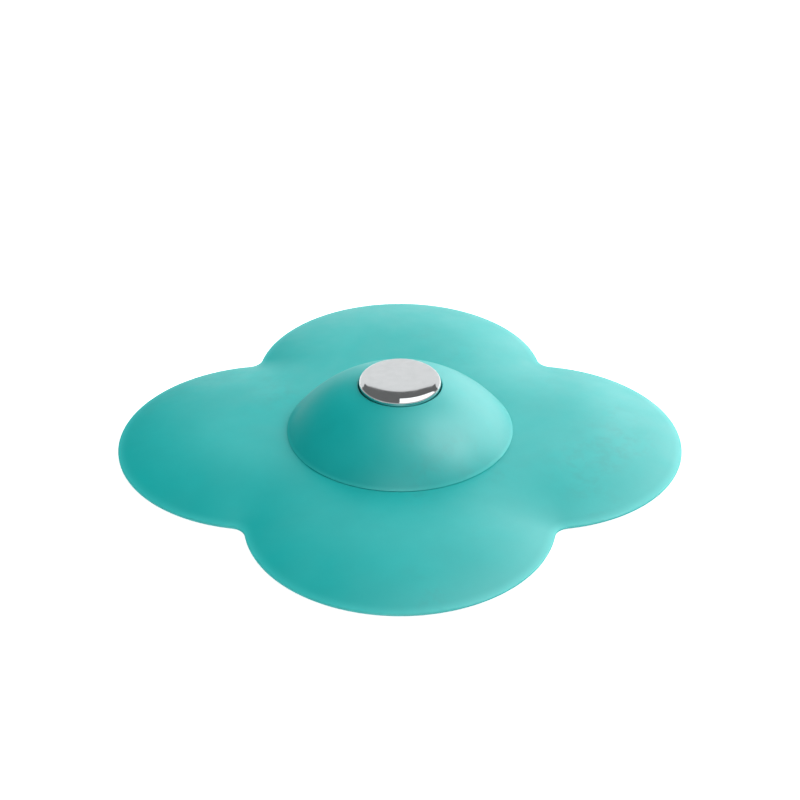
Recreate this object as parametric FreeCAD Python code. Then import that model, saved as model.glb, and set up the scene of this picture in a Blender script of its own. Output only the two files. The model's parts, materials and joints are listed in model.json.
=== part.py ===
import FreeCAD
import Part
import math
import os

# Push-button drain stopper: a four-petal silicone mat with a dome that lifts on a click mechanism.
# Millimetres, +Z up. The origin is on the floor under the middle of the dome, shown closed.

# Petal mat
petal_radius = 41.2
petal_offset = 36.8
notch_radius = 4.5
mat_top = 5.4
mat_wall = 2.2
mat_edge_height = 0.85
mat_edge_nose = 0.4
mat_rim_width = 3.6
mat_slope_width = 32.0
mat_roll_width = 8.0
mat_roll_height_share = 0.51

# Strainer plate and the ring that clamps it to the mat
strainer_clearance = 0.2
strainer_flange_overlap = 2.4
strainer_flange_thickness = 0.6
strainer_thickness = 1.6
strainer_rim_width = 3.3
slot_count = 18
slot_width = 2.2
slot_margin = 0.7
clamp_thickness = 1.3
clamp_screw_count = 4
clamp_screw_radius = 0.9
clamp_screw_head_radius = 1.5
clamp_screw_head_height = 0.9
clamp_screw_bite = 1.5
drive_width = 0.5
drive_depth_share = 0.55
drive_length_share = 1.5

# Dome cap
dome_rim_gap = 0.1
dome_height = 15.9
dome_wall = 2.0
dome_rim_round = 0.2
recess_gap = 0.2
recess_depth = 4.4
recess_floor = 1.2
recess_wall = 1.5
recess_round = 0.25
ledge_height = 2.2
ledge_thickness = 1.4

# Ring seal under the dome and the ring that holds it
seal_outer_radius = 26.6
seal_width = 1.7
seal_flange_gap = 0.5
seal_wall_gap = 0.308
seal_clearance = 0.05
seal_lip_width = 0.6
seal_lip_thickness = 0.6
retainer_width = 1.8
retainer_clearance = 0.1
retainer_lift = 0.3

# Push button
button_radius = 11.25
button_proud = 2.1
button_crown = 0.3
button_round = 1.6
button_height = 4.5
button_wall = 0.7
button_travel = 1.6
core_thickness = 2.7
core_boss_radius = 4.2
core_boss_height = 1.0
stud_radius = 2.0
stud_length = 2.0
stem_radius = 3.0
bush_wall = 1.55
bush_flange_width = 0.3
bush_flange_thickness = 0.3

# Click mechanism: barrel, sleeve, plunger and rotor
dome_travel = 5.0
barrel_radius = 10.0
barrel_wall = 1.4
barrel_ground_gap = 0.6
barrel_floor = 1.0
barrel_hole_radius = 3.6
barrel_flange_width = 2.8
barrel_flange_thickness = 0.8
barrel_cap_thickness = 1.0
barrel_cap_gap = 0.3
rib_count = 4
rib_depth = 1.6
lane_angle = 46.0
nut_thickness = 1.4
nut_wall = 1.9
nut_sides = 8
sleeve_wall = 1.42
sleeve_flange_margin = 0.45
sleeve_flange_thickness = 1.4
sleeve_gap = 0.4
rotor_height = 1.4
rotor_gap = 0.2
rotor_step_angle = 22.5
lug_angle = 20.0
lug_clearance = 0.3
tooth_count = 8
tooth_height = 0.5
tooth_gap = 0.3
tooth_length = 1.7
tooth_width_share = 0.8
crown_height = 1.2
stop_gap = 0.1
spindle_radius = 1.5
spindle_tail = 0.3
clip_radius = 2.9
clip_thickness = 0.6
clip_depth = 0.3
clip_mouth = 2.0
dome_screw_count = 3
dome_screw_circle = 8.2
dome_screw_radius = 0.8
dome_screw_head_radius = 1.4
dome_screw_head_height = 0.8
dome_screw_tip_gap = 0.3

# Springs
return_wire = 0.9
return_gap = 0.85
return_turns = 3.5
button_wire = 0.6
button_spring_radius = 5.6
button_spring_turns = 2.0
spring_seat_gap = 0.05
washer_thickness = 0.4
washer_width = 2.4
samples_per_turn = 72

# Fits
slide_fit = 0.08
turn_fit = 0.05
press_fit = 0.03
free_fit = 0.3
cut_overrun = 1.0

# Radii that follow from the fits
barrel_bore = barrel_radius - barrel_wall
barrel_flange_radius = barrel_radius + barrel_flange_width
rib_radius = barrel_bore - rib_depth
sleeve_radius = rib_radius - slide_fit
rotor_radius = sleeve_radius - sleeve_wall - free_fit
tooth_inner_radius = rotor_radius - tooth_length
return_radius = barrel_radius + return_gap + return_wire / 2
sleeve_flange_radius = return_radius + return_wire / 2 + sleeve_flange_margin
recess_radius = button_radius + recess_gap
button_inner_radius = button_radius - button_wall
bush_radius = stem_radius + turn_fit + bush_wall
bush_hole_radius = bush_radius + press_fit
seal_inner_radius = seal_outer_radius - seal_width
retainer_radius = seal_inner_radius - retainer_clearance
retainer_inner_radius = retainer_radius - retainer_width
strainer_flange_radius = seal_inner_radius - seal_flange_gap
mat_hole_radius = strainer_flange_radius - strainer_flange_overlap
strainer_radius = mat_hole_radius - strainer_clearance
strainer_rim_radius = strainer_radius - strainer_rim_width
clamp_screw_circle = strainer_radius - strainer_rim_width / 2

# Heights that follow from the stack
mat_under = mat_top - mat_wall
strainer_top = mat_under + strainer_thickness
flange_top = mat_top + strainer_flange_thickness
clamp_bottom = mat_under - clamp_thickness
retainer_bottom = flange_top + retainer_lift
barrel_flange_top = strainer_top + barrel_flange_thickness
washer_top = barrel_flange_top + washer_thickness
rim_height = mat_top + dome_rim_gap
ledge_under = mat_top + ledge_height

# The dome's ball: its inside clears the seal where the seal meets the ledge
dome_top = rim_height + dome_height
ledge_depth = dome_top - ledge_under
inside_radius = seal_outer_radius + seal_wall_gap
dome_radius = (inside_radius ** 2 + ledge_depth ** 2 - dome_wall ** 2) / (2 * (ledge_depth - dome_wall))
dome_centre = dome_top - dome_radius
dome_rim_radius = math.sqrt(dome_radius ** 2 - (rim_height - dome_centre) ** 2)

# Heights that follow from the dome and the floor
recess_edge = dome_centre + math.sqrt(dome_radius ** 2 - recess_radius ** 2)
floor_top = recess_edge - recess_depth
floor_under = floor_top - recess_floor
sleeve_flange_under = floor_under - sleeve_flange_thickness
cap_top = sleeve_flange_under - barrel_cap_gap
barrel_top = cap_top - barrel_cap_thickness
barrel_floor_top = barrel_ground_gap + barrel_floor
rotor_bottom = barrel_floor_top + button_travel + rotor_gap
rotor_top = rotor_bottom + rotor_height
crown_tip = rotor_top + tooth_height + tooth_gap
crown_root = crown_tip + tooth_height
crown_top = crown_root + crown_height
sleeve_bottom = rotor_top + sleeve_gap
button_shoulder = recess_edge + button_proud
button_bottom = button_shoulder - button_height
button_under = button_shoulder - button_wall
core_under = button_under - core_thickness
boss_under = core_under - core_boss_height

up = FreeCAD.Vector(0, 0, 1)
middle = FreeCAD.Vector(0, 0, 0)


def at(x, z):
    return FreeCAD.Vector(x, 0, z)


def cylinder(radius, low, high):
    return Part.makeCylinder(radius, high - low, FreeCAD.Vector(0, 0, low))


def ring(inner, outer, low, high):
    return cylinder(outer, low, high).cut(cylinder(inner, low - cut_overrun, high + cut_overrun))


def turned(edges):
    # A solid of revolution from the edges of a closed section in the XZ plane.
    return Part.Face(Part.Wire(edges)).revolve(middle, up, 360)


def turned_polygon(points):
    corners = [at(r, z) for r, z in points]
    return Part.Face(Part.makePolygon(corners + corners[:1])).revolve(middle, up, 360)


def spaced(shape, count, first_angle=0):
    # Copies of a shape, evenly spaced round the Z axis.
    copies = []
    for index in range(count):
        copy = shape.copy()
        copy.rotate(middle, up, first_angle + 360 * index / count)
        copies.append(copy)
    return copies


def wedge(inner, outer, low, high, angle):
    # A sector of a ring, centred on +X.
    face = Part.Face(Part.makePolygon([at(inner, low), at(outer, low), at(outer, high),
                                       at(inner, high), at(inner, low)]))
    face.rotate(middle, up, -angle / 2)
    return face.revolve(middle, up, angle)


def sphere_radius_at(radius, height):
    # How far from the axis a ball about the dome's centre reaches at a height.
    return math.sqrt(radius ** 2 - (height - dome_centre) ** 2)


def screw(circle, seat, reach, radius, head_radius, head_height, side):
    # A slotted screw with its head on the seat; side is +1 for a head above the seat, -1 below.
    ends = sorted([seat, seat + side * head_height])
    shank_ends = sorted([seat, seat - side * reach])
    body = cylinder(head_radius, ends[0], ends[1]).fuse(cylinder(radius, shank_ends[0], shank_ends[1]))
    length = 2 * head_radius * drive_length_share
    outer_end = seat + side * head_height
    inner_end = outer_end - side * head_height * drive_depth_share
    slot_ends = sorted([inner_end, outer_end + side * cut_overrun])
    slot = Part.makeBox(length, drive_width, slot_ends[1] - slot_ends[0],
                        FreeCAD.Vector(-length / 2, -drive_width / 2, slot_ends[0]))
    body = body.cut(slot)
    body.translate(FreeCAD.Vector(circle, 0, 0))
    return body


def tangent_arc(start, direction, end):
    # The arc that leaves start along a direction, in the XZ plane, and passes through end.
    normal = FreeCAD.Vector(-direction.z, 0, direction.x)
    chord = end - start
    radius = chord.dot(chord) / (2 * normal.dot(chord))
    centre = start + normal * radius
    bisector = (start - centre) + (end - centre)
    return Part.Arc(start, centre + bisector.normalize() * abs(radius), end).toShape()


def mat_section(edge, side):
    # The mat's section from its edge to the flat middle; side is +1 where the edge faces out along X.
    def place(depth):
        return edge - side * depth

    drop = (mat_top - mat_edge_height) * (1 - mat_roll_height_share)
    run = mat_slope_width - mat_roll_width
    crown_radius = (run ** 2 + drop ** 2) / (2 * drop)
    tilt = math.asin(run / crown_radius)
    middle_top = at(place(mat_slope_width), mat_top)
    middle_under = at(place(mat_slope_width), mat_under)
    roll = at(place(mat_roll_width), mat_top - drop)
    edge_top = at(place(mat_edge_nose), mat_edge_height)
    edge_under = at(place(mat_edge_nose), 0)
    tip = at(place(0), mat_edge_height / 2)
    rim = at(place(mat_rim_width), 0)
    return [
        tangent_arc(middle_top, at(side, 0), roll),
        tangent_arc(roll, at(side * math.cos(tilt), -math.sin(tilt)), edge_top),
        Part.Arc(edge_top, tip, edge_under).toShape(),
        Part.LineSegment(edge_under, rim).toShape(),
        tangent_arc(middle_under, at(side, 0), rim),
        Part.LineSegment(middle_under, middle_top).toShape(),
    ]


def mat_sector(edge, side, angle, turn, centre):
    # One stretch of the mat's border, turned about the centre of its arc.
    face = Part.Face(Part.Wire(Part.__sortEdges__(mat_section(edge, side))))
    face.rotate(middle, up, -angle / 2)
    sector = face.revolve(middle, up, angle)
    sector.rotate(middle, up, turn)
    sector.translate(centre)
    return sector


def petal_mat():
    reach = petal_radius + notch_radius
    notch_place = (petal_offset + math.sqrt(2 * reach ** 2 - petal_offset ** 2)) / 2
    petal_half = math.degrees(math.atan2(notch_place, notch_place - petal_offset))
    notch_angle = 2 * (petal_half - 45)
    petal = mat_sector(petal_radius, 1, 2 * petal_half, 0, FreeCAD.Vector(petal_offset, 0, 0))
    notch = mat_sector(notch_radius, -1, notch_angle, 225, FreeCAD.Vector(notch_place, notch_place, 0))
    # The flat middle inside the sloping border has arcs about the same eight centres.
    inner_petal = petal_radius - mat_slope_width
    inner_notch = notch_radius + mat_slope_width
    arcs = []
    for quarter in range(4):
        turn = FreeCAD.Rotation(up, 90 * quarter)
        petal_centre = turn.multVec(FreeCAD.Vector(petal_offset, 0, 0))
        notch_centre = turn.multVec(FreeCAD.Vector(notch_place, notch_place, 0))
        arcs.append(flat_arc(petal_centre, inner_petal, 90 * quarter, petal_half))
        arcs.append(flat_arc(notch_centre, inner_notch, 225 + 90 * quarter, notch_angle / 2))
    flat = Part.Face(Part.Wire(Part.__sortEdges__(arcs))).extrude(up * mat_wall)
    border = spaced(petal, 4) + spaced(notch, 4)
    body = flat.multiFuse(border).removeSplitter()
    return body.cut(cylinder(mat_hole_radius, mat_under - cut_overrun, mat_top + cut_overrun))


def flat_arc(centre, radius, direction, half_angle):
    # A level arc at the underside of the mat's flat middle.
    points = []
    for angle in (direction - half_angle, direction, direction + half_angle):
        turn = math.radians(angle)
        points.append(FreeCAD.Vector(centre.x + radius * math.cos(turn),
                                     centre.y + radius * math.sin(turn), mat_under))
    return Part.Arc(points[0], points[1], points[2]).toShape()


def strainer_plate():
    hub = barrel_radius + press_fit
    body = turned_polygon([
        (hub, mat_under), (strainer_radius, mat_under), (strainer_radius, mat_top),
        (strainer_flange_radius, mat_top), (strainer_flange_radius, flange_top),
        (strainer_rim_radius, flange_top), (strainer_rim_radius, strainer_top), (hub, strainer_top)])
    slot_start = barrel_flange_radius + slot_margin
    slot_end = strainer_rim_radius - slot_margin
    depth = strainer_thickness + 2 * cut_overrun
    half = slot_width / 2
    slot = Part.makeBox(slot_end - slot_start - slot_width, slot_width, depth,
                        FreeCAD.Vector(slot_start + half, -half, mat_under - cut_overrun))
    for centre in (slot_start + half, slot_end - half):
        slot = slot.fuse(Part.makeCylinder(half, depth, FreeCAD.Vector(centre, 0, mat_under - cut_overrun)))
    hole = Part.makeCylinder(clamp_screw_radius + press_fit, clamp_screw_bite + press_fit,
                             FreeCAD.Vector(clamp_screw_circle, 0, mat_under))
    return body.cut(spaced(slot, slot_count)).cut(spaced(hole, clamp_screw_count, 45))


def clamp_ring():
    body = ring(strainer_rim_radius, strainer_flange_radius, clamp_bottom, mat_under)
    hole = Part.makeCylinder(clamp_screw_radius + press_fit, clamp_thickness + 2 * cut_overrun,
                             FreeCAD.Vector(clamp_screw_circle, 0, clamp_bottom - cut_overrun))
    return body.cut(spaced(hole, clamp_screw_count, 45))


def clamp_screws():
    one = screw(clamp_screw_circle, clamp_bottom, clamp_thickness + clamp_screw_bite,
                clamp_screw_radius, clamp_screw_head_radius, clamp_screw_head_height, -1)
    return Part.makeCompound(spaced(one, clamp_screw_count, 45))


def guide_barrel():
    tube = turned_polygon([
        (barrel_hole_radius, barrel_ground_gap), (barrel_radius, barrel_ground_gap),
        (barrel_radius, strainer_top), (barrel_flange_radius, strainer_top),
        (barrel_flange_radius, barrel_flange_top), (barrel_radius, barrel_flange_top),
        (barrel_radius, barrel_top), (barrel_bore, barrel_top), (barrel_bore, barrel_floor_top),
        (barrel_hole_radius, barrel_floor_top)])
    # The ribs leave lanes that take a lug both before and after its step.
    rib = wedge(rib_radius, barrel_bore + barrel_wall / 2, barrel_floor_top, barrel_top,
                360 / rib_count - lane_angle)
    return tube.fuse(spaced(rib, rib_count, rotor_step_angle / 2 + 180 / rib_count)).removeSplitter()


def barrel_nut():
    corners = []
    for index in range(nut_sides + 1):
        turn = 2 * math.pi * index / nut_sides
        reach = (barrel_radius + nut_wall) / math.cos(math.pi / nut_sides)
        corners.append(FreeCAD.Vector(reach * math.cos(turn), reach * math.sin(turn),
                                      mat_under - nut_thickness))
    body = Part.Face(Part.makePolygon(corners)).extrude(up * nut_thickness)
    return body.cut(cylinder(barrel_radius + press_fit, mat_under - nut_thickness - cut_overrun,
                             mat_under + cut_overrun))


def barrel_cap():
    # The cap's feet close the tops of the lanes, and stop the lugs where the dome is fully up.
    lug_stop = rotor_top + dome_travel + stop_gap
    foot_angle = lane_angle - 2 * math.degrees(turn_fit / rib_radius)
    foot = wedge(rib_radius, barrel_bore - turn_fit, lug_stop, barrel_top, foot_angle)
    body = ring(rib_radius, barrel_radius, barrel_top, cap_top)
    return body.fuse(spaced(foot, rib_count, rotor_step_angle / 2)).removeSplitter()


def spring_washer():
    inner = barrel_radius + press_fit
    return ring(inner, inner + washer_width, barrel_flange_top, washer_top)


def helix_tube(radius, wire, low, high, turns):
    # A spring of one unbroken wire on pairs of arcs, each pair a quarter of a turn.
    first = low + wire / 2 + spring_seat_gap
    rise = (high - low - wire - 2 * spring_seat_gap) / turns

    def point(turn):
        angle = 2 * math.pi * turn
        return FreeCAD.Vector(radius * math.cos(angle), radius * math.sin(angle), first + rise * turn)

    def heading(turn):
        angle = 2 * math.pi * turn
        way = FreeCAD.Vector(-math.sin(angle), math.cos(angle), rise / (2 * math.pi * radius))
        return way.normalize()

    edges = []
    steps = round(turns * 4)
    for step in range(steps):
        begin = turns * step / steps
        end = turns * (step + 1) / steps
        edges += arc_pair(point(begin), heading(begin), point(end), heading(end))
    section = Part.Wire(Part.makeCircle(wire / 2, point(0), heading(0)))
    spots = [point(index / samples_per_turn) for index in range(round(turns * samples_per_turn) + 1)]
    least = min(spots[i].distanceToPoint(spots[j])
                for i in range(len(spots)) for j in range(i + samples_per_turn // 2, len(spots)))
    print("spring of", turns, "turns, least gap to itself", round(least - wire, 3))
    return Part.Wire(edges).makePipeShell([section], True, False)


def arc_pair(start, start_way, end, end_way):
    # Two arcs that meet smoothly and leave and arrive along the given directions.
    span = end - start
    ways = start_way + end_way
    bend = 2 * (1 - start_way.dot(end_way))
    along = span.dot(ways)
    reach = (math.sqrt(along ** 2 + bend * span.dot(span)) - along) / bend
    first_corner = start + start_way * reach
    last_corner = end - end_way * reach
    joint = (first_corner + last_corner) / 2
    return [corner_arc(start, first_corner, joint), corner_arc(joint, last_corner, end)]


def corner_arc(start, corner, end):
    # The arc that touches the two legs of a corner at their ends.
    chord_middle = (start + end) / 2
    toward = corner - chord_middle
    half_chord = start.distanceToPoint(chord_middle)
    sag = half_chord * math.tan(math.atan2(toward.Length, half_chord) / 2)
    return Part.Arc(start, chord_middle + toward.normalize() * sag, end).toShape()


def return_spring():
    return helix_tube(return_radius, return_wire, washer_top, sleeve_flange_under, return_turns)


def dome_cap():
    inner_ball = dome_radius - dome_wall
    rim_inner = sphere_radius_at(inner_ball, rim_height)
    cup = recess_radius + recess_wall
    cup_top = dome_centre + math.sqrt(inner_ball ** 2 - cup ** 2)
    outside_height = (recess_edge + rim_height) / 2
    outside_middle = at(sphere_radius_at(dome_radius, outside_height), outside_height)
    inside_height = (cup_top + rim_height) / 2
    inside_middle = at(sphere_radius_at(inner_ball, inside_height), inside_height)
    lines = [at(cup, cup_top), at(cup, floor_under), at(bush_hole_radius, floor_under),
             at(bush_hole_radius, floor_top), at(recess_radius, floor_top), at(recess_radius, recess_edge)]
    edges = [Part.LineSegment(a, b).toShape() for a, b in zip(lines, lines[1:])]
    edges.append(Part.Arc(lines[-1], outside_middle, at(dome_rim_radius, rim_height)).toShape())
    edges.append(Part.LineSegment(at(dome_rim_radius, rim_height), at(rim_inner, rim_height)).toShape())
    edges.append(Part.Arc(at(rim_inner, rim_height), inside_middle, lines[0]).toShape())
    shell = turned(edges)
    shell = rounded(shell, dome_rim_radius, rim_height, dome_rim_round)
    shell = rounded(shell, recess_radius, recess_edge, recess_round)
    ledge_middle = ledge_under + ledge_thickness / 2
    ledge = ring(retainer_inner_radius, sphere_radius_at(dome_radius - dome_wall / 2, ledge_middle),
                 ledge_under, ledge_under + ledge_thickness)
    hole = Part.makeCylinder(dome_screw_radius + press_fit, recess_floor + 2 * cut_overrun,
                             FreeCAD.Vector(dome_screw_circle, 0, floor_under - cut_overrun))
    return shell.fuse(ledge).cut(spaced(hole, dome_screw_count))


def rounded(shape, radius, height, size):
    # Rounds the circular edges of one radius at one height.
    near = size / 2
    found = []
    for edge in shape.Edges:
        if edge.BoundBox.ZLength < near and abs(edge.BoundBox.ZMax - height) < near:
            if abs(edge.BoundBox.XMax - radius) < near:
                found.append(edge)
    return shape.makeFillet(size, found)


def dome_seal():
    bottom = mat_top + seal_clearance
    lip_inner = seal_inner_radius - seal_lip_width
    lip_bottom = ledge_under - seal_lip_thickness
    return turned_polygon([
        (seal_inner_radius, bottom), (seal_outer_radius, bottom), (seal_outer_radius, ledge_under),
        (lip_inner, ledge_under), (lip_inner, lip_bottom), (seal_inner_radius, lip_bottom)])


def seal_retainer():
    step = seal_inner_radius - seal_lip_width - retainer_clearance
    hook_top = ledge_under - seal_lip_thickness - retainer_clearance
    return turned_polygon([
        (retainer_inner_radius, retainer_bottom), (retainer_radius, retainer_bottom),
        (retainer_radius, hook_top), (step, hook_top), (step, ledge_under),
        (retainer_inner_radius, ledge_under)])


def lift_sleeve():
    bore = stem_radius + free_fit
    pocket = rotor_radius + free_fit
    pocket_top = crown_top + stop_gap
    body = turned_polygon([
        (bore, floor_under), (bore, pocket_top), (pocket, pocket_top), (pocket, sleeve_bottom),
        (sleeve_radius, sleeve_bottom), (sleeve_radius, sleeve_flange_under),
        (sleeve_flange_radius, sleeve_flange_under), (sleeve_flange_radius, floor_under)])
    depth = sleeve_flange_thickness - dome_screw_tip_gap + press_fit
    hole = Part.makeCylinder(dome_screw_radius + press_fit, depth,
                             FreeCAD.Vector(dome_screw_circle, 0, floor_under - depth))
    return body.cut(spaced(hole, dome_screw_count))


def dome_screws():
    reach = recess_floor + sleeve_flange_thickness - dome_screw_tip_gap
    one = screw(dome_screw_circle, floor_top, reach, dome_screw_radius,
                dome_screw_head_radius, dome_screw_head_height, 1)
    return Part.makeCompound(spaced(one, dome_screw_count))


def stem_bush():
    flange = bush_radius + bush_flange_width
    return turned_polygon([
        (stem_radius + turn_fit, floor_under), (bush_radius, floor_under), (bush_radius, floor_top),
        (flange, floor_top), (flange, floor_top + bush_flange_thickness),
        (stem_radius + turn_fit, floor_top + bush_flange_thickness)])


def push_button():
    # The crown is part of a ball that runs smoothly into the rim's rounding.
    flat_radius = button_radius - button_round
    between_centres = (flat_radius ** 2 + button_crown ** 2) / (2 * button_crown)
    crown_ball = between_centres + button_round
    lean = math.asin(flat_radius / between_centres)
    peak = button_shoulder + button_crown
    crown_centre = at(0, peak - crown_ball)
    crown_middle = crown_centre + leaning(lean / 2) * crown_ball
    crown_end = crown_centre + leaning(lean) * crown_ball
    inner = rounded_rim(button_inner_radius, button_bottom, button_round - button_wall, 0)
    outer = rounded_rim(button_radius, button_bottom, button_round, lean)
    edges = [Part.LineSegment(at(0, peak), at(0, button_under)).toShape(),
             Part.LineSegment(at(0, button_under), at(flat_radius, button_under)).toShape()]
    edges += inner + outer
    edges.append(Part.LineSegment(at(button_inner_radius, button_bottom),
                                  at(button_radius, button_bottom)).toShape())
    edges.append(Part.Arc(crown_end, crown_middle, at(0, peak)).toShape())
    return turned(Part.__sortEdges__(edges))


def leaning(angle):
    # The direction that leans out from straight up by an angle.
    return at(math.sin(angle), math.cos(angle))


def rounded_rim(radius, low, size, lean):
    # A wall from a low height that bends over the button's rim, until it faces along a lean from upright.
    centre = at(button_radius - button_round, button_shoulder - button_round)
    wall_top = at(radius, centre.z)
    bend_middle = centre + leaning((math.pi / 2 + lean) / 2) * size
    return [Part.LineSegment(at(radius, low), wall_top).toShape(),
            Part.Arc(wall_top, bend_middle, centre + leaning(lean) * size).toShape()]


def button_core():
    radius = button_inner_radius - press_fit
    flat_radius = button_radius - button_round
    top = button_under - press_fit
    lines = [at(flat_radius, top), at(0, top), at(0, boss_under + stud_length + press_fit),
             at(stud_radius + press_fit, boss_under + stud_length + press_fit),
             at(stud_radius + press_fit, boss_under), at(core_boss_radius, boss_under),
             at(core_boss_radius, core_under), at(radius, core_under)]
    edges = [Part.LineSegment(a, b).toShape() for a, b in zip(lines, lines[1:])]
    edges += rounded_rim(radius, core_under, button_round - button_wall - press_fit, 0)
    return turned(Part.__sortEdges__(edges))


def tooth_ring(root, way):
    # Radial teeth on a ring, pointing up (way +1) or down (way -1) from their root height.
    pitch = 2 * math.pi * tooth_inner_radius / tooth_count
    half = pitch * tooth_width_share / 2
    corners = [FreeCAD.Vector(tooth_inner_radius, -half, root),
               FreeCAD.Vector(tooth_inner_radius, half, root),
               FreeCAD.Vector(tooth_inner_radius, 0, root + way * tooth_height)]
    ridge = Part.Face(Part.makePolygon(corners + corners[:1]))
    tooth = ridge.extrude(FreeCAD.Vector(tooth_length, 0, 0))
    ends = sorted([root, root + way * tooth_height])
    return spaced(tooth.common(cylinder(rotor_radius, ends[0], ends[1])), tooth_count)


def plunger():
    clip_top = rotor_bottom - stop_gap
    clip_bottom = clip_top - clip_thickness
    groove = spindle_radius - clip_depth
    body = turned_polygon([
        (0, boss_under + stud_length), (stud_radius, boss_under + stud_length), (stud_radius, boss_under),
        (stem_radius, boss_under), (stem_radius, crown_top), (rotor_radius, crown_top),
        (rotor_radius, crown_root), (spindle_radius, crown_root), (spindle_radius, clip_top),
        (groove, clip_top), (groove, clip_bottom), (spindle_radius, clip_bottom),
        (spindle_radius, clip_bottom - spindle_tail), (0, clip_bottom - spindle_tail)])
    return body.fuse(tooth_ring(crown_root, -1)).removeSplitter()


def button_spring():
    return helix_tube(button_spring_radius, button_wire, floor_top, core_under, button_spring_turns)


def rotor_clip():
    clip_top = rotor_bottom - stop_gap - press_fit
    clip_bottom = rotor_bottom - stop_gap - clip_thickness + press_fit
    body = ring(spindle_radius - clip_depth + press_fit, clip_radius, clip_bottom, clip_top)
    mouth = Part.makeBox(clip_radius + cut_overrun, clip_mouth, clip_thickness + 2 * cut_overrun,
                         FreeCAD.Vector(0, -clip_mouth / 2, clip_bottom - cut_overrun))
    return body.cut(mouth)


def ratchet_rotor():
    body = ring(spindle_radius + turn_fit, rotor_radius, rotor_bottom, rotor_top)
    lug_reach = barrel_bore - lug_clearance
    lug = wedge(rotor_radius - spindle_radius, lug_reach, rotor_bottom, rotor_top, lug_angle)
    return body.fuse(spaced(lug, rib_count) + tooth_ring(rotor_top, 1)).removeSplitter()


makers = [petal_mat, strainer_plate, clamp_ring, clamp_screws, guide_barrel, barrel_nut, barrel_cap,
          spring_washer, return_spring, dome_cap, dome_seal, seal_retainer, lift_sleeve, dome_screws,
          stem_bush, push_button, button_core, plunger, button_spring, rotor_clip, ratchet_rotor]

os.makedirs("parts", exist_ok=True)
for maker in makers:
    shape = maker()
    box = shape.BoundBox
    print(maker.__name__, len(shape.Solids), "solids, valid", shape.isValid(), "volume",
          round(shape.Volume, 1), "heights", round(box.ZMin, 2), round(box.ZMax, 2))
    shape.exportStep("parts/" + maker.__name__ + ".step")
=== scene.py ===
# %% [markdown]
# A push-button drain stopper: a soft mat with four petals, a domed cap in the middle of it, and a
# polished button in the top of the dome. The engineering model is loaded first and stays where it is.
# Everything made below sits in the same frame, in metres, and rides on one of its moving bodies.

# %% Load the engineering model
import json
import math

import bpy
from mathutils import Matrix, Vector


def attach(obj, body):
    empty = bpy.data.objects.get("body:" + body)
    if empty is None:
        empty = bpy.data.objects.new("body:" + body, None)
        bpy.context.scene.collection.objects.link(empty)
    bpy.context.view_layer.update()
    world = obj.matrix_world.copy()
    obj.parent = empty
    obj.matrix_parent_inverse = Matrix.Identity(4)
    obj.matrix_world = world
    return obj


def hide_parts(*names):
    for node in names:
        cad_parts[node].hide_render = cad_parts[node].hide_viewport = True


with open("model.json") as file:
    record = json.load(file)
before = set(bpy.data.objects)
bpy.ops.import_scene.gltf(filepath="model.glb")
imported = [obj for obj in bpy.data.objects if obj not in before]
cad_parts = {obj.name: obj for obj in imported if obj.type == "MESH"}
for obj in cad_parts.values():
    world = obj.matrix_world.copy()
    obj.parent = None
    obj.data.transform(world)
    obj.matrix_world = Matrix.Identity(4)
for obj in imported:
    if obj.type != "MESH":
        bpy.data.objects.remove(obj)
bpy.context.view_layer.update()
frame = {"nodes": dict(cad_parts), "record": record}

# %% [markdown]
# The camera. The four petal tips and the notches between them give the photograph's viewpoint: from
# straight in front of one petal, about a third of a right angle up, with a long lens. A camera could be
# placed by eye, but a fitted one lets every later piece be compared edge by edge.

# %% Camera
MM = 0.001
CAMERA_PLACE = Vector((0, -516.7, 338.15)) * MM
CAMERA_TARGET = Vector((0, 22.6, 0.45)) * MM
CAMERA_LENS = 100.08
SENSOR_WIDTH = 36

camera_data = bpy.data.cameras.new("photo_camera")
camera_data.lens = CAMERA_LENS
camera_data.sensor_width = SENSOR_WIDTH
camera = bpy.data.objects.new("photo_camera", camera_data)
camera.location = CAMERA_PLACE
camera.rotation_euler = (CAMERA_TARGET - CAMERA_PLACE).to_track_quat("-Z", "Y").to_euler()
bpy.context.scene.collection.objects.link(camera)
bpy.context.scene.camera = camera
bpy.context.scene.view_settings.view_transform = "Standard"
print("camera is", round((CAMERA_TARGET - CAMERA_PLACE).length, 3), "m from its target")

# %% [markdown]
# Small helpers for node trees. A finish is a handful of nodes, so it helps to be able to add one and set
# its inputs in a single line. They could be wired by hand in the shader editor, but a script can be read
# and run again. Constant values go straight onto the shader's own sockets.

# %% Node helpers


def set_inputs(node, values):
    for key, value in values.items():
        node.inputs[key].default_value = value


def add_node(tree, kind, inputs=None, **settings):
    node = tree.nodes.new(kind)
    for key, value in settings.items():
        setattr(node, key, value)
    set_inputs(node, inputs or {})
    return node


def combine(tree, operation, *parts):
    # A math node; each part is a plain number or the output of another node.
    node = add_node(tree, "ShaderNodeMath", operation=operation)
    for socket, part in zip(node.inputs, parts):
        if isinstance(part, float):
            socket.default_value = part
        else:
            tree.links.new(part, socket)
    return node.outputs[0]


def new_material(name):
    material = bpy.data.materials.new(name)
    material.use_nodes = True
    tree = material.node_tree
    return material, tree, tree.nodes["Principled BSDF"]


# %% [markdown]
# Helpers for finishes. Nothing real has one even colour or gloss, so each finish here follows a noise: its
# tint runs between two tones and its gloss between two values. Painted textures could do the same, but
# they would need unwrapping and would blur close up.

# %% Finish helpers
NOISE_MIDDLE = (0.3, 0.7)


def noise(tree, coords, scale, detail=3.0, roughness=0.5):
    node = add_node(tree, "ShaderNodeTexNoise",
                    {"Scale": scale, "Detail": detail, "Roughness": roughness})
    tree.links.new(coords.outputs["Object"], node.inputs["Vector"])
    return node.outputs["Fac"]


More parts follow.
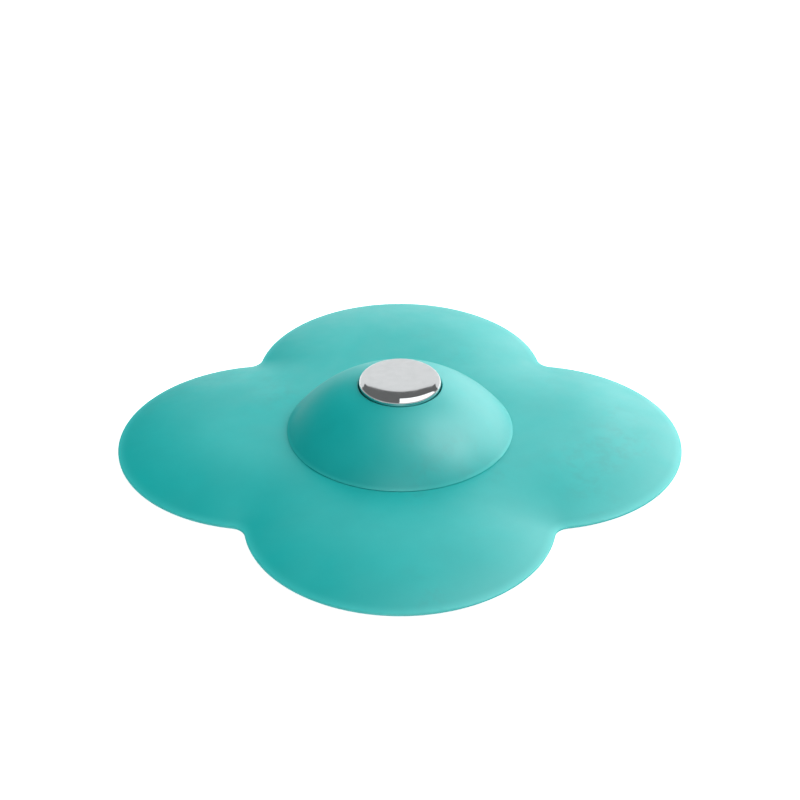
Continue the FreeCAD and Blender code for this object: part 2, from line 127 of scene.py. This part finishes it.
def spread(tree, value, low, high, taken=NOISE_MIDDLE):
    # Maps a part of a noise's range, its middle unless another is given, to a range of values.
    node = add_node(tree, "ShaderNodeMapRange",
                    {"From Min": taken[0], "From Max": taken[1], "To Min": low, "To Max": high})
    tree.links.new(value, node.inputs["Value"])
    return node.outputs["Result"]


def two_tone(tree, value, dark, light):
    ramp = add_node(tree, "ShaderNodeValToRGB")
    for element, position, colour in zip(ramp.color_ramp.elements, NOISE_MIDDLE, (dark, light)):
        element.position = position
        element.color = (*colour, 1)
    tree.links.new(value, ramp.inputs["Fac"])
    return ramp.outputs["Color"]


def add_grain(tree, shader, coords, scale, strength, depth, detail=2.0):
    # A texture too fine to model, which only breaks up the gloss.
    bump = add_node(tree, "ShaderNodeBump", {"Strength": strength, "Distance": depth})
    tree.links.new(noise(tree, coords, scale, detail), bump.inputs["Height"])
    tree.links.new(bump.outputs["Normal"], shader.inputs["Normal"])


def clouded_finish(name, scale, dark, light, gloss, detail=4.0, metallic=0.0, grain=None):
    # Tint and gloss both follow one noise; grain holds the values for add_grain, where there is any.
    material, tree, shader = new_material(name)
    coords = add_node(tree, "ShaderNodeTexCoord")
    clouds = noise(tree, coords, scale, detail)
    tree.links.new(two_tone(tree, clouds, dark, light), shader.inputs["Base Color"])
    tree.links.new(spread(tree, clouds, *gloss), shader.inputs["Roughness"])
    shader.inputs["Metallic"].default_value = metallic
    if grain:
        add_grain(tree, shader, coords, **grain)
    return material


# %% [markdown]
# The floor. The photograph has a plain white ground, and the stopper's shadow still shows on it. Strong
# lamps could bleach a floor to white, but they would bleach the stopper with it. So the floor is white
# paint with a glow that only the camera and reflections meet, and the light falls on it as on the rest.

# %% Floor
WHITE = (1, 1, 1, 1)
FLOOR_HALF = 0.6
FLOOR_DROP = 0.1 * MM
FLOOR_PAINT = (0.86, 0.86, 0.86, 1)
FLOOR_ROUGHNESS = 0.9
FLOOR_GLOW_SEEN = 0.75
FLOOR_GLOW_MIRRORED = 0.2


def mesh_object(name, points, faces):
    mesh = bpy.data.meshes.new(name)
    mesh.from_pydata(points, [], faces)
    made = bpy.data.objects.new(name, mesh)
    bpy.context.scene.collection.objects.link(made)
    return made


def white_floor():
    # The glow lifts the lit floor to white for the camera; glossy rays meet less of it.
    material, tree, shader = new_material("white_floor")
    set_inputs(shader, {"Base Color": FLOOR_PAINT, "Roughness": FLOOR_ROUGHNESS,
                        "Specular IOR Level": 0.0, "Emission Color": WHITE})
    path = add_node(tree, "ShaderNodeLightPath").outputs
    seen = combine(tree, "MAXIMUM", path["Is Camera Ray"], path["Is Transmission Ray"])
    mirrored = combine(tree, "MULTIPLY", path["Is Glossy Ray"], FLOOR_GLOW_MIRRORED)
    glow = combine(tree, "MULTIPLY_ADD", seen, FLOOR_GLOW_SEEN, mirrored)
    tree.links.new(glow, shader.inputs["Emission Strength"])
    return material


def make_floor():
    corners = [(across * FLOOR_HALF, along * FLOOR_HALF, -FLOOR_DROP)
               for across, along in ((-1, -1), (1, -1), (1, 1), (-1, 1))]
    floor = mesh_object("floor", corners, [(0, 1, 2, 3)])
    floor.data.materials.append(white_floor())


make_floor()
print("floor of", 2 * FLOOR_HALF, "m")

# %% [markdown]
# The sky behind the floor is white to the camera and in reflections, and gives no light of its own. A
# white world could light the scene evenly, but then nothing would have a bright and a dark side. The light
# comes from panels, further down.

# %% Sky


def make_sky():
    world = bpy.data.worlds.new("studio_sky")
    bpy.context.scene.world = world
    world.use_nodes = True
    tree = world.node_tree
    background = tree.nodes["Background"]
    background.inputs["Color"].default_value = WHITE
    path = add_node(tree, "ShaderNodeLightPath").outputs
    seen = combine(tree, "MAXIMUM", path["Is Camera Ray"], path["Is Glossy Ray"])
    seen = combine(tree, "MAXIMUM", seen, path["Is Transmission Ray"])
    tree.links.new(seen, background.inputs["Strength"])


make_sky()
print("sky made:", bpy.context.scene.world.name)

# %% [markdown]
# Scuffs. Handling has rubbed a few small places on the petals darker. They could be painted on one by one,
# but two noises leave them all over the skin: a wide one chooses patches, and a fine one draws the marks
# inside them.

# %% Scuffs
PATCH_SCALE = 26.0
PATCH_TAKEN = (0.55, 0.68)
MARK_SCALE = 170.0
MARK_TAKEN = (0.45, 0.65)
MARK_STRENGTH = 0.5


def scuff_places(tree, coords):
    # How far each place is scuffed, from none to the strength of a mark.
    patch_noise = noise(tree, coords, PATCH_SCALE, detail=2.0)
    mark_noise = noise(tree, coords, MARK_SCALE, detail=6.0, roughness=0.7)
    patches = spread(tree, patch_noise, 0.0, 1.0, PATCH_TAKEN)
    marks = spread(tree, mark_noise, 0.0, MARK_STRENGTH, MARK_TAKEN)
    return combine(tree, "MULTIPLY", patches, marks)


# %% [markdown]
# Teal silicone, for the petals. It is a dull, slightly powdery rubber: a saturated base with faint cloudy
# patches, a broad soft gloss and a very fine moulded grain. A flat colour would look like plain paint, so
# noises at different scales vary the tint, the gloss and the grain. Where silicone runs out to a thin
# edge, light would get through it, so a paler tint is painted there as light: a value kept on the skin
# says where. Scattering inside the skin could give that light for real, but it would be slow and hard to
# steer. The same value paints a highlight along the bottom of the dome's rim. The dome has a thin bloom as
# well, which draws the pale line along its far edge.

# %% Teal finishes
TEAL_DARK = (0.003, 0.425, 0.411)
TEAL_LIGHT = (0.005, 0.465, 0.449)
# The paler tint painted where light would come through a thin edge or catch the dome's rim.
TEAL_PAINTED_LIGHT = (0.040, 0.570, 0.550)
TEAL_SCUFF = (0.015, 0.340, 0.330)
PAINTED_EDGE_LIGHT = "painted_edge_light"
TEAL_SHINE = 1.0
SMEAR_FINENESS = 2.3
GRAIN_SCALE = 2600.0
GRAIN_STRENGTH = 0.35
BLOOM = {"Sheen Weight": 1.0, "Sheen Roughness": 0.08, "Sheen Tint": (0.35, 1.0, 0.97, 1)}


def mixed_tint(tree, amount, under, colour):
    # Moves a tint towards another colour by an amount from 0 to 1.
    mix = add_node(tree, "ShaderNodeMix", data_type="RGBA")
    mix.inputs["B"].default_value = (*colour, 1)
    tree.links.new(amount, mix.inputs["Factor"])
    tree.links.new(under, mix.inputs["A"])
    return mix.outputs["Result"]


def teal_finish(name, cloud_scale, gloss, grain_depth):
    material, tree, shader = new_material(name)
    coords = add_node(tree, "ShaderNodeTexCoord")
    clouds = noise(tree, coords, cloud_scale, detail=5.0, roughness=0.6)
    clouded = two_tone(tree, clouds, TEAL_DARK, TEAL_LIGHT)
    scuffed = mixed_tint(tree, scuff_places(tree, coords), clouded, TEAL_SCUFF)
    # Painted light: the tint moves towards the paler teal where the skin's value says, for light through
    # thin edges and a highlight on the dome's rim.
    painted_edge_light = add_node(tree, "ShaderNodeAttribute", attribute_name=PAINTED_EDGE_LIGHT)
    tint = mixed_tint(tree, painted_edge_light.outputs["Fac"], scuffed, TEAL_PAINTED_LIGHT)
    tree.links.new(tint, shader.inputs["Base Color"])
    smears = noise(tree, coords, cloud_scale * SMEAR_FINENESS, detail=4.0)
    tree.links.new(spread(tree, smears, *gloss), shader.inputs["Roughness"])
    add_grain(tree, shader, coords, GRAIN_SCALE, GRAIN_STRENGTH, grain_depth)
    shader.inputs["Specular IOR Level"].default_value = TEAL_SHINE
    return material


petal_silicone = teal_finish("petal_silicone", cloud_scale=55.0, gloss=(0.43, 0.53), grain_depth=0.012 * MM)
dome_teal = teal_finish("dome_teal", cloud_scale=70.0, gloss=(0.45, 0.51), grain_depth=0.008 * MM)
set_inputs(dome_teal.node_tree.nodes["Principled BSDF"], BLOOM)
print("finishes made:", petal_silicone.name, dome_teal.name)

# %% [markdown]
# The mat's outline: four round petals joined by small hollow notches, all true arcs. Walking along it
# with an inward direction at each step gives the columns of the mat's mesh; stepping inwards from the
# edge gives its rows. This keeps the rows parallel to the edge, so the soft slope shades evenly. A grid
# cut to the outline would leave jagged edges.

# %% Mat outline
PETAL_RADIUS = 41.2
PETAL_OFFSET = 36.8
NOTCH_RADIUS = 4.5
PETAL_COLUMNS = 72
NOTCH_COLUMNS = 16

# A notch's centre lies on a diagonal, both radii away from the centres of the petals beside it.
reach = PETAL_RADIUS + NOTCH_RADIUS
notch_place = (PETAL_OFFSET + math.sqrt(2 * reach ** 2 - PETAL_OFFSET ** 2)) / 2
petal_half = math.atan2(notch_place, notch_place - PETAL_OFFSET)
notch_half = petal_half - math.pi / 4


def outline_columns():
    # For each column: the arc's centre, its direction from the centre, its radius and the inward sign.
    columns = []
    for quarter in range(4):
        turn = quarter * math.pi / 2
        petal_centre = (PETAL_OFFSET * math.cos(turn), PETAL_OFFSET * math.sin(turn))
        for step in range(PETAL_COLUMNS):
            angle = turn - petal_half + 2 * petal_half * step / PETAL_COLUMNS
            columns.append((petal_centre, angle, PETAL_RADIUS, -1))
        diagonal = turn + math.pi / 4
        reach_out = notch_place * math.sqrt(2)
        notch_centre = (reach_out * math.cos(diagonal), reach_out * math.sin(diagonal))
        for step in range(NOTCH_COLUMNS):
            angle = diagonal + math.pi + notch_half - 2 * notch_half * step / NOTCH_COLUMNS
            columns.append((notch_centre, angle, NOTCH_RADIUS, 1))
    return columns


columns = outline_columns()
print("outline of", len(columns), "columns")

# %% [markdown]
# The mat's section. From a thin rounded edge the top swells up to a level middle, steeply at first and
# then ever more gently, so each petal is crowned and a soft valley runs in from every notch. Underneath it
# is hollow, with a flat rim to lie on. A flat sheet could be sculpted into this, but a formula for the
# height is the same on every petal. The rows go down the top, round the edge and back below.

# %% Mat section
MAT_TOP = 5.4
MAT_WALL = 2.2
EDGE_HEIGHT = 0.85
EDGE_NOSE = 0.4
RIM_WIDTH = 3.6
SLOPE_WIDTH = 32.0
SWELL_POWER = 2.35
SLOPE_ROWS = 30
SLOPE_CROWDING = 1.5
NOSE_ROWS = 7
UNDER_ROWS = 12
MIDDLE_ROWS = 5


def between(start, end, step, steps):
    return start + (end - start) * step / steps


def top_height(depth):
    share = min(1.0, (depth - EDGE_NOSE) / (SLOPE_WIDTH - EDGE_NOSE))
    return MAT_TOP - (MAT_TOP - EDGE_HEIGHT) * (1 - share) ** SWELL_POWER


def under_height(depth):
    share = (SLOPE_WIDTH - depth) / (SLOPE_WIDTH - RIM_WIDTH)
    return (MAT_TOP - MAT_WALL) * (1 - share ** 2)


def mat_rows():
    # For each row of the skin: depth from the edge, height, and share of the way in to the round hole.
    rows = [(SLOPE_WIDTH, MAT_TOP, 1 - step / MIDDLE_ROWS) for step in range(MIDDLE_ROWS)]
    for step in range(SLOPE_ROWS + 1):
        depth = EDGE_NOSE + (SLOPE_WIDTH - EDGE_NOSE) * (1 - step / SLOPE_ROWS) ** SLOPE_CROWDING
        rows.append((depth, top_height(depth), 0))
    for step in range(1, NOSE_ROWS):
        turn = math.pi * step / NOSE_ROWS
        rows.append((EDGE_NOSE * (1 - math.sin(turn)), EDGE_HEIGHT * (1 + math.cos(turn)) / 2, 0))
    rows.append((EDGE_NOSE, 0, 0))
    for step in range(UNDER_ROWS + 1):
        depth = between(RIM_WIDTH, SLOPE_WIDTH, step, UNDER_ROWS)
        rows.append((depth, under_height(depth), 0))
    rows += [(SLOPE_WIDTH, MAT_TOP - MAT_WALL, step / MIDDLE_ROWS) for step in range(1, MIDDLE_ROWS + 1)]
    return rows


rows = mat_rows()
print("section of", len(rows), "rows")

# %% [markdown]
# The mat itself: every row laid along every column, joined to one closed skin. The middle rows leave the
# petals' outline and come in to the round hole for the strainer. A subdivision surface would need fewer
# points, but it would draw the true arcs a little inwards. The skin also keeps how near each point is to
# the edge, for the paler tint painted there as light coming through the thin silicone.

# %% Petal mat
HOLE_RADIUS = 22.0
# Width in from the edge over which light through the thin silicone is painted as a paler tint, fading
# inwards.
EDGE_LIGHT_WIDTH = 2.2
MAT_CREASE = 60


def mat_vertex(column, row):
    (centre_x, centre_y), angle, radius, sign = column
    depth, height, inward = row
    at = radius + sign * depth
    x, y = centre_x + at * math.cos(angle), centre_y + at * math.sin(angle)
    out = math.hypot(x, y)
    pull = (out + (HOLE_RADIUS - out) * inward) / out
    return x * pull * MM, y * pull * MM, height * MM


def closed_skin(name, vertices, row_count, column_count):
    # Quads between neighbours; rows and columns both run all the way round.
    faces = []
    for r in range(row_count):
        below = (r + 1) % row_count
        for c in range(column_count):
            beside = (c + 1) % column_count
            faces.append((r * column_count + c, below * column_count + c,
                          below * column_count + beside, r * column_count + beside))
    piece = mesh_object(name, vertices, faces)
    piece.data.validate()
    piece.data.shade_smooth()
    return piece


def keep_painted_edge_light(piece, amounts):
    # Keeps on the skin, point by point, how much painted light it gets, up to 1: light through a thin edge,
    # or a highlight on the dome's rim.
    painted_edge_light = piece.data.attributes.new(PAINTED_EDGE_LIGHT, "FLOAT", "POINT")
    for point, amount in zip(painted_edge_light.data, amounts):
        point.value = max(0.0, amount)


def make_mat():
    vertices = [mat_vertex(column, row) for row in rows for column in columns]
    mat = closed_skin("petal_mat_skin", vertices, len(rows), len(columns))
    # Paints light through the thin edge: the tint is palest at the edge and fades out within the width set
    # above.
    keep_painted_edge_light(mat, [1 - row[0] / EDGE_LIGHT_WIDTH for row in rows for _ in columns])
    mat.data.materials.append(petal_silicone)
    mat.data.set_sharp_from_angle(angle=math.radians(MAT_CREASE))
    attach(mat, "base")
    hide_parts("petal_mat")
    return mat


mat = make_mat()
print("mat skin of", len(mat.data.polygons), "faces")

# %% [markdown]
# Turned pieces. The dome, the button and the seal are all round, so each is a section in radius and
# height, carried round the axis. A screw modifier could do this; plain code keeps the seam closed and the
# corners where the section puts them.

# %% Turning helper
TURN_STEPS = 192
TURNED_CREASE = 40


def arc_points(centre, radius, start, end, steps):
    # Points along an arc of the section; angles in degrees from straight out.
    points = []
    for step in range(steps + 1):
        angle = math.radians(between(start, end, step, steps))
        points.append((centre[0] + radius * math.cos(angle), centre[1] + radius * math.sin(angle)))
    return points


def turned_piece(name, section, finish, body, node):
    vertices = []
    for radius, height in section:
        for step in range(TURN_STEPS):
            angle = 2 * math.pi * step / TURN_STEPS
            vertices.append((radius * math.cos(angle) * MM, radius * math.sin(angle) * MM, height * MM))
    piece = closed_skin(name, vertices, len(section), TURN_STEPS)
    piece.data.materials.append(finish)
    piece.data.set_sharp_from_angle(angle=math.radians(TURNED_CREASE))
    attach(piece, body)
    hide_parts(node)
    print(name, "of", len(piece.data.polygons), "faces")
    return piece


# %% [markdown]
# The dome: part of a ball with a finely rounded rim, and in its top a round well for the button. Half of a
# ready-made sphere could be squashed into it, but the ball worked out from the dome's width and height
# meets its rim and its well exactly.

# %% Dome outside
DOME_RIM_RADIUS = 31.21
DOME_HEIGHT = 15.9
RIM_GAP = 0.1
RIM_ROUND = 0.08
WELL_RADIUS = 11.45
WELL_ROUND = 0.25
BALL_STEPS = 96
ROUND_STEPS = 8

rim_height = MAT_TOP + RIM_GAP
ball_radius = (DOME_RIM_RADIUS ** 2 + DOME_HEIGHT ** 2) / (2 * DOME_HEIGHT)
ball_centre = rim_height + DOME_HEIGHT - ball_radius
well_edge = ball_centre + math.sqrt(ball_radius ** 2 - WELL_RADIUS ** 2)


def ball_angle(radius, height):
    # The angle, in degrees, at which a ball about the dome's centre reaches a height.
    return math.degrees(math.asin((height - ball_centre) / radius))


def well_lip():
    # The centre of the lip's rounding, which touches the well's wall and the ball, and where it ends.
    ball = ball_radius - WELL_ROUND
    radius = WELL_RADIUS + WELL_ROUND
    angle = math.degrees(math.acos(radius / ball))
    return (radius, ball_centre + ball * math.sin(math.radians(angle))), angle


def dome_rim():
    # The centre of the rim's rounding, which touches the ball and the underside, and where it starts.
    ball = ball_radius - RIM_ROUND
    height = rim_height + RIM_ROUND
    angle = ball_angle(ball, height)
    return (ball * math.cos(math.radians(angle)), height), angle


def dome_outside():
    lip_centre, lip_angle = well_lip()
    rim_centre, rim_angle = dome_rim()
    section = arc_points(lip_centre, WELL_ROUND, 180, lip_angle, ROUND_STEPS)
    section += arc_points((0, ball_centre), ball_radius, lip_angle, rim_angle, BALL_STEPS)[1:-1]
    return section + arc_points(rim_centre, RIM_ROUND, rim_angle, -90, ROUND_STEPS)


print("dome from a ball of", round(ball_radius, 2), "mm")

# %% [markdown]
# The dome's inside shows when it is lifted. Its wall is two millimetres thick, a ledge runs round it for
# the seal, and the well hangs down into it as a cup with a hole for the bush. A solidify modifier could
# give the wall, but not the ledge or the cup, so outside and inside are turned as one closed section.

# %% Dome cap
DOME_WALL = 2.0
WELL_DEPTH = 4.4
WELL_FLOOR = 1.2
WELL_WALL = 1.5
BUSH_HOLE = 4.63
LEDGE_INNER = 23.0
LEDGE_HEIGHT = 2.2
LEDGE_THICKNESS = 1.4
# Height above the rim over which a painted highlight along the dome's rim fades out.
RIM_LIGHT_HEIGHT = 1.0
INSIDE_LOW_STEPS = 6
INSIDE_STEPS = 24

inner_ball = ball_radius - DOME_WALL
cup_radius = WELL_RADIUS + WELL_WALL


def dome_inside():
    ledge_low = MAT_TOP + LEDGE_HEIGHT
    ledge_high = ledge_low + LEDGE_THICKNESS
    rim_angle, low_angle, high_angle = [ball_angle(inner_ball, height)
                                        for height in (rim_height, ledge_low, ledge_high)]
    cup_angle = math.degrees(math.acos(cup_radius / inner_ball))
    section = arc_points((0, ball_centre), inner_ball, rim_angle, low_angle, INSIDE_LOW_STEPS)
    section += [(LEDGE_INNER, ledge_low), (LEDGE_INNER, ledge_high)]
    return section + arc_points((0, ball_centre), inner_ball, high_angle, cup_angle, INSIDE_STEPS)


def dome_section():
    floor_top = well_edge - WELL_DEPTH
    floor_low = floor_top - WELL_FLOOR
    section = [(BUSH_HOLE, floor_top), (WELL_RADIUS, floor_top)]
    section += dome_outside() + dome_inside()
    return section + [(cup_radius, floor_low), (BUSH_HOLE, floor_low)]


dome = turned_piece("dome_cap_shell", dome_section(), dome_teal, "dome", "dome_cap")
# Painted highlight: the bottom of the dome, nearest its rim, is tinted paler, fading out upwards.
keep_painted_edge_light(dome, [1 - (vertex.co.z / MM - rim_height) / RIM_LIGHT_HEIGHT for vertex in dome.data.vertices])

# %% [markdown]
# Polished chrome, for the button. Plating is almost a mirror, and a perfect one would look computed, so a
# trace of fine wiping marks varies its gloss and tint.

# %% Chrome finish
chrome = clouded_finish("polished_chrome", scale=420.0, dark=(0.66, 0.68, 0.69), light=(0.70, 0.72, 0.73),
                        gloss=(0.05, 0.09), metallic=1.0)
print("finish made:", chrome.name)

# %% [markdown]
# The button is a pebble-like cup: a faintly crowned top, a rounded rim and an upright wall that goes down
# into the well and mirrors the teal around it. The top is nearly level in the middle and bends over ever
# faster, which gives the dark crescent its curve; part of a ball would draw it straight. It runs smoothly
# into the rounding, because a mirror shows the slightest kink as a line.

# %% Push button
BUTTON_RADIUS = 11.25
BUTTON_PROUD = 2.1
BUTTON_ROUND = 1.6
BUTTON_HEIGHT = 4.5
BUTTON_WALL = 0.7
CROWN_LEAN = 6.0
CROWN_POWER = 5
CROWN_STEPS = 40
BEND_STEPS = 32
INNER_BEND_STEPS = 10
PINHOLE = 0.02


def crown_points(meeting):
    # From a pinhole on the axis, because a skin of quads can't end in a point, out to the rounding.
    edge, height = meeting
    crown = math.tan(math.radians(CROWN_LEAN)) * edge / CROWN_POWER
    points = []
    for step in range(CROWN_STEPS + 1):
        radius = between(PINHOLE, edge, step, CROWN_STEPS)
        points.append((radius, height + crown * (1 - (radius / edge) ** CROWN_POWER)))
    return points


def button_section():
    shoulder = well_edge + BUTTON_PROUD
    low = shoulder - BUTTON_HEIGHT
    bend = (BUTTON_RADIUS - BUTTON_ROUND, shoulder - BUTTON_ROUND)
    # The crown leans by a set angle where the rounding takes over.
    lean = math.radians(CROWN_LEAN)
    meeting = (bend[0] + BUTTON_ROUND * math.sin(lean), bend[1] + BUTTON_ROUND * math.cos(lean))
    section = crown_points(meeting)
    section += arc_points(bend, BUTTON_ROUND, 90 - CROWN_LEAN, 0, BEND_STEPS)[1:]
    section += [(BUTTON_RADIUS, low), (BUTTON_RADIUS - BUTTON_WALL, low)]
    section += arc_points(bend, BUTTON_ROUND - BUTTON_WALL, 0, 90, INNER_BEND_STEPS)
    return section + [(PINHOLE, shoulder - BUTTON_WALL)]


button = turned_piece("push_button_cup", button_section(), chrome,
                      "button", "push_button")

# %% [markdown]
# The ring seal under the dome is soft, dusty rubber that shows when the dome is up: a rounded bead with a
# thin lip above it that the retaining ring grips. A plain torus would have no lip, so it is turned too.

# %% Seal
SEAL_OUTER = 26.6
SEAL_INNER = 24.9
SEAL_CLEARANCE = 0.05
SEAL_LIP = 0.6
BEAD_STEPS = 20

seal_rubber = clouded_finish("seal_rubber", scale=260.0, dark=(0.24, 0.27, 0.28), light=(0.32, 0.35, 0.36),
                             gloss=(0.55, 0.7),
                             grain={"scale": 1800.0, "strength": 0.3, "depth": 0.02 * MM, "detail": 3.0})


def seal_section():
    top = MAT_TOP + LEDGE_HEIGHT
    lip_low = top - SEAL_LIP
    lip_inner = SEAL_INNER - SEAL_LIP
    bead = (SEAL_OUTER - SEAL_INNER) / 2
    bead_centre = (SEAL_INNER + bead, MAT_TOP + SEAL_CLEARANCE + bead)
    section = [(SEAL_OUTER, top)]
    section += arc_points(bead_centre, bead, 0, -180, BEAD_STEPS)
    return section + [(SEAL_INNER, lip_low), (lip_inner, lip_low), (lip_inner, top)]


turned_piece("dome_seal_bead", seal_section(), seal_rubber, "dome", "dome_seal")

# %% [markdown]
# The pieces inside keep their engineering shapes, because little of them ever shows. Most are moulded
# plastic, with the fine satin texture of an injection mould; the springs, washer, clip and screws are
# drawn or turned steel.

# %% Inner finishes


def moulded_finish(name, dark, light):
    return clouded_finish(name, scale=140.0, dark=dark, light=light, gloss=(0.42, 0.52),
                          grain={"scale": 2200.0, "strength": 0.3, "depth": 0.01 * MM})


inner_finishes = {
    "white_plastic": moulded_finish("white_moulded", dark=(0.76, 0.78, 0.77), light=(0.82, 0.84, 0.83)),
    "grey_plastic": moulded_finish("grey_moulded", dark=(0.33, 0.35, 0.37), light=(0.38, 0.40, 0.42)),
    "steel": clouded_finish("drawn_steel", scale=900.0, dark=(0.50, 0.51, 0.52), light=(0.62, 0.63, 0.64),
                            gloss=(0.22, 0.34), detail=3.0, metallic=1.0),
}
dressed = 0
for entry in frame["record"]["subparts"]:
    finish = inner_finishes.get(entry["material_slot"])
    if finish:
        node_mesh = frame["nodes"][entry["node"]].data
        node_mesh.materials.clear()
        node_mesh.materials.append(finish)
        dressed += 1
print(dressed, "inner pieces dressed")

# %% [markdown]
# Helpers for the studio. A place round the stopper is given as a photographer would say it, by a turn and
# a tilt. In the photograph the button and the teal pieces don't mirror the same things. They could be
# rendered apart and put together, but light linking does it in one scene: a lamp or card is told which
# pieces to leave out.

# %% Studio helpers


def studio_way(azimuth, elevation):
    # A direction from the stopper; azimuth is measured from straight behind, towards the right.
    turn, tilt = math.radians(azimuth), math.radians(elevation)
    return Vector((math.sin(turn) * math.cos(tilt), math.cos(turn) * math.cos(tilt), math.sin(tilt)))


def left_out(name, pieces):
    # A group that a lamp or card is told to leave out.
    group = bpy.data.collections.new(name)
    for piece in pieces:
        group.objects.link(piece)
    for member in group.collection_objects:
        member.light_linking.link_state = "EXCLUDE"
    return group


# %% [markdown]
# Soft panels. The teal pieces show how the light falls: brightest behind and to the right, dimmest at the
# front left, with a pale sheen on the right only. So the panels behind, on the right and in front are
# mirrored in the gloss, and the two on the left give light without it. A sky picture could light the
# scene, but panels can be set one by one. Each faces the stopper from one distance. Its level is set
# beside white paper, which is 1, and its watts follow from level and area. The button mirrors none of
# them in the photograph, as if flags kept them off it, so they leave it out.

# %% Soft panels
PANEL_DISTANCE = 0.7
PANEL_WIDTH = 0.38
PANELS = {
    "back_panel": {"azimuth": 0, "elevation": 15, "height": 0.48, "level": 1.25, "mirrored": True},
    "back_right_panel": {"azimuth": 30, "elevation": 20, "height": 0.54, "level": 2.7, "mirrored": True},
    "right_back_panel": {"azimuth": 60, "elevation": 20, "height": 0.54, "level": 3.15, "mirrored": True},
    "high_right_panel": {"azimuth": 90, "elevation": 51, "height": 0.36, "level": 6.2, "mirrored": True},
    "top_right_panel": {"azimuth": 90, "elevation": 76, "height": 0.47, "level": 1.55, "mirrored": True},
    "front_panel": {"azimuth": 180, "elevation": 20, "height": 0.54, "level": 2.2, "mirrored": True},
    "left_fill": {"azimuth": 260, "elevation": 30, "height": 0.54, "level": 1.95, "mirrored": False},
    "back_left_fill": {"azimuth": 330, "elevation": 20, "height": 0.54, "level": 2.3, "mirrored": False},
}


def make_panel(name, kept_off, azimuth, elevation, height, level, mirrored):
    way = studio_way(azimuth, elevation)
    lamp = bpy.data.lights.new(name, "AREA")
    lamp.shape = "RECTANGLE"
    lamp.size = PANEL_WIDTH
    lamp.size_y = height
    lamp.energy = level * math.pi * PANEL_WIDTH * height
    # A panel that gives no sheen must not be met by stray rays either.
    lamp.cycles.use_multiple_importance_sampling = mirrored
    panel = bpy.data.objects.new(name, lamp)
    panel.location = way * PANEL_DISTANCE
    panel.rotation_euler = (-way).to_track_quat("-Z", "Y").to_euler()
    panel.visible_glossy = mirrored
    panel.light_linking.receiver_collection = kept_off
    bpy.context.scene.collection.objects.link(panel)


not_the_button = left_out("not_the_button", [button])
for panel_name, panel_facts in PANELS.items():
    make_panel(panel_name, not_the_button, **panel_facts)
print(len(PANELS), "soft panels")

# %% [markdown]
# Cards. The button mirrors the room, and in a studio the room is made of cards, which glow here and are
# seen in reflections only, so they neither light nor shade the rest. Lamps could be mirrored instead, but
# a card can have any outline. The teal pieces, whose left sides have no sheen at all, see them as black.

# %% Card helpers
CARD_STEPS = 32


def card_finish(name, level):
    material, _, shader = new_material(name)
    set_inputs(shader, {"Base Color": (0, 0, 0, 1), "Specular IOR Level": 0.0,
                        "Emission Color": WHITE, "Emission Strength": level})
    return material


def make_card(name, points, level, kept_off):
    # A grid of points, row by row, that only reflections show.
    row = CARD_STEPS + 1
    faces = [(r * row + c, r * row + c + 1, (r + 1) * row + c + 1, (r + 1) * row + c)
             for r in range(CARD_STEPS) for c in range(CARD_STEPS)]
    card = mesh_object(name, points, faces)
    card.data.materials.append(card_finish(name, level))
    card.visible_camera = False
    card.visible_diffuse = False
    card.visible_transmission = False
    card.visible_shadow = False
    card.light_linking.receiver_collection = kept_off


# %% [markdown]
# What the button mirrors: a pale wall behind, dark overhead and on the left, and a white window that fills
# the front right quarter from the floor to overhead. Together they draw its grey top, the dark crescent
# and the white streak. So there is a dark ball round the stage, with two bright cards in front of it and a
# grey sheet on the floor before the stopper. The card behind has rounded corners, for the blunt ends of
# the crescent.

# %% Cards and sheet
CARD_LOW = -4
CORNER_POWER = 3
CARDS = {
    "dark_card": {"azimuths": (0, 360), "top": 90, "distance": 1.1, "level": 0.17, "rounded": False},
    "back_card": {"azimuths": (-59, 61), "top": 37, "distance": 1.05, "level": 0.95, "rounded": True},
    "window_card": {"azimuths": (76, 181), "top": 90, "distance": 1.0, "level": 1.7, "rounded": False},
}
SHEET_AZIMUTHS = (62, 298)
SHEET_INNER = 0.085
SHEET_OUTER = 1.0
SHEET_LEVEL = 0.5


def upright_points(azimuths, top, distance, rounded):
    points = []
    for up in range(CARD_STEPS + 1):
        for along in range(CARD_STEPS + 1):
            off_middle = abs(2 * along / CARD_STEPS - 1)
            high = top * (1 - off_middle ** CORNER_POWER) ** (1 / CORNER_POWER) if rounded else top
            way = studio_way(between(*azimuths, along, CARD_STEPS), between(CARD_LOW, high, up, CARD_STEPS))
            points.append(way * distance)
    return points


def sheet_points():
    points = []
    for out in range(CARD_STEPS + 1):
        distance = between(SHEET_INNER, SHEET_OUTER, out, CARD_STEPS)
        for along in range(CARD_STEPS + 1):
            points.append(studio_way(between(*SHEET_AZIMUTHS, along, CARD_STEPS), 0) * distance)
    return points


not_the_teal = left_out("not_the_teal", [mat, dome])
for card_name, facts in CARDS.items():
    card_points = upright_points(facts["azimuths"], facts["top"], facts["distance"], facts["rounded"])
    make_card(card_name, card_points, facts["level"], not_the_teal)
make_card("floor_sheet", sheet_points(), SHEET_LEVEL, not_the_teal)
print(len(CARDS), "cards and a sheet")
